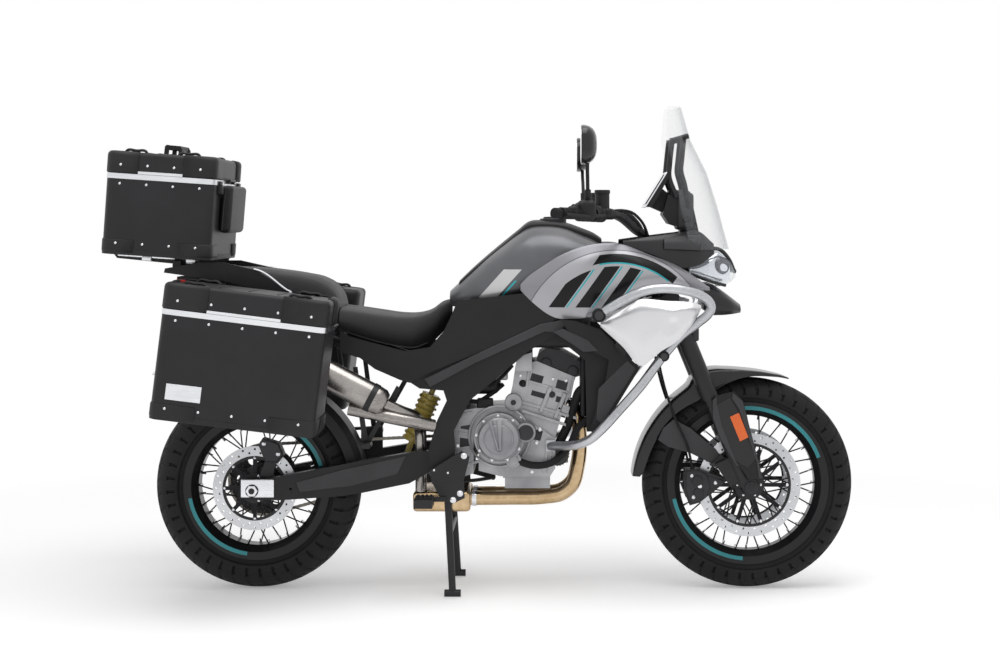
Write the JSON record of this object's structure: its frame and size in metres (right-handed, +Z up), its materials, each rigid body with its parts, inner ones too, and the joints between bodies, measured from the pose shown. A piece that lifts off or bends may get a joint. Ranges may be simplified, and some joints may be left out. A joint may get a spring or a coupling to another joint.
{
  "type": "adventure motorcycle",
  "caption": "Touring motorcycle with wire-spoke wheels, crash bars, tall clear screen, hard side panniers and a top case, standing on its centre stand.",
  "frame": {"origin": "on the floor, in the middle of the box round the whole machine", "axes": "+X forward, +Y to the rider's left, +Z up"},
  "size_m": [2.3048, 0.97, 1.504],
  "materials": {
    "tyre": "matte",
    "rim": "satin",
    "disc": "drilled",
    "steel_black": "satin",
    "frame": "satin",
    "alloy": "cast",
    "alloy_dark": "satin",
    "chrome": "polished",
    "titanium": "heat tinted",
    "tank": "satin metallic",
    "plastic": "satin",
    "wing": "pearl",
    "seat": "vinyl",
    "case": "anodised",
    "tube": "brushed",
    "lens": "clear",
    "screen": "clear",
    "mirror": "gloss",
    "chain": "oiled",
    "spring": "gloss",
    "graphic": "satin metallic"
  },
  "bodies": {
    "chassis": {"backrest": "seat", "beak": "plastic", "chain": "chain", "cockpit": "plastic", "crankcase": "alloy", "crash_bars": "tube", "cylinder_head": "alloy", "deflectors": "plastic", "engine_covers": "alloy", "exhaust_headers": "titanium", "footrests": "alloy", "fuel_tank": "tank", "headlight": "lens", "hugger": "plastic", "main_frame": "frame", "muffler": "chrome", "nose_cowls": "plastic", "pannier_left_shell": "case", "pannier_right_shell": "case", "pillion_seat": "seat", "radiator": "steel_black", "rear_caliper": "steel_black", "rear_rack": "tube", "saddle": "seat", "screen_frame": "steel_black", "shock": "spring", "shrouds": "graphic", "side_panels": "plastic", "side_wings": "wing", "subframe": "frame", "swingarm": "alloy_dark", "tail_unit": "plastic", "top_case_shell": "case", "valve_cover": "alloy_dark", "windscreen": "screen"},
    "steering": {"fork": "alloy_dark", "triple_clamps": "alloy_dark", "handlebar": "steel_black", "bar_controls": "plastic", "mirrors": "mirror", "front_fender": "plastic", "fork_guards": "plastic", "front_calipers": "steel_black"},
    "front_wheel": {"front_tyre": "tyre", "front_wheel": "rim", "front_discs": "disc"},
    "rear_wheel": {"rear_tyre": "tyre", "rear_wheel": "rim", "rear_disc": "disc", "rear_sprocket": "disc"},
    "side_stand": {"side_stand": "steel_black"},
    "centre_stand": {"centre_stand": "steel_black"},
    "pannier_lid_left": {"pannier_left_lid": "case"},
    "pannier_lid_right": {"pannier_right_lid": "case"},
    "top_case_lid": {"top_case_lid": "case"}
  },
  "joints": [
    {"name": "steering", "type": "hinge", "parent": "chassis", "child": "steering", "pos_m": [0.78557, 0, 0.31344], "axis": [-0.3795, 0, 0.9252], "range_deg": [-32, 32]},
    {"name": "front_wheel_spin", "type": "hinge", "parent": "steering", "child": "front_wheel", "pos_m": [0.8235, 0, 0.329], "axis": [0, 1, 0], "continuous": true},
    {"name": "rear_wheel_spin", "type": "hinge", "parent": "chassis", "child": "rear_wheel", "pos_m": [-0.7075, 0, 0.321], "axis": [0, 1, 0], "continuous": true},
    {"name": "centre_stand_fold", "type": "hinge", "parent": "chassis", "child": "centre_stand", "pos_m": [-0.11, 0, 0.335], "axis": [0, 1, 0], "range_deg": [0, 76]},
    {"name": "side_stand_swing", "type": "hinge", "parent": "chassis", "child": "side_stand", "pos_m": [0.012, 0.171, 0.336], "axis": [0, -1, 0], "range_deg": [0, 80], "stiffness_Nm_per_rad": 1.5, "springref_deg": -91.67},
    {"name": "pannier_lid_left_open", "type": "hinge", "parent": "chassis", "child": "pannier_lid_left", "pos_m": [-0.42263, 0.3675, 0.84065], "axis": [0, 1, 0], "range_deg": [0, 75]},
    {"name": "pannier_lid_right_open", "type": "hinge", "parent": "chassis", "child": "pannier_lid_right", "pos_m": [-0.42263, -0.3675, 0.84065], "axis": [0, 1, 0], "range_deg": [0, 75]},
    {"name": "top_case_lid_open", "type": "hinge", "parent": "chassis", "child": "top_case_lid", "pos_m": [-0.79364, 0, 1.27267], "axis": [0, 1, 0], "range_deg": [0, 80]}
  ]
}
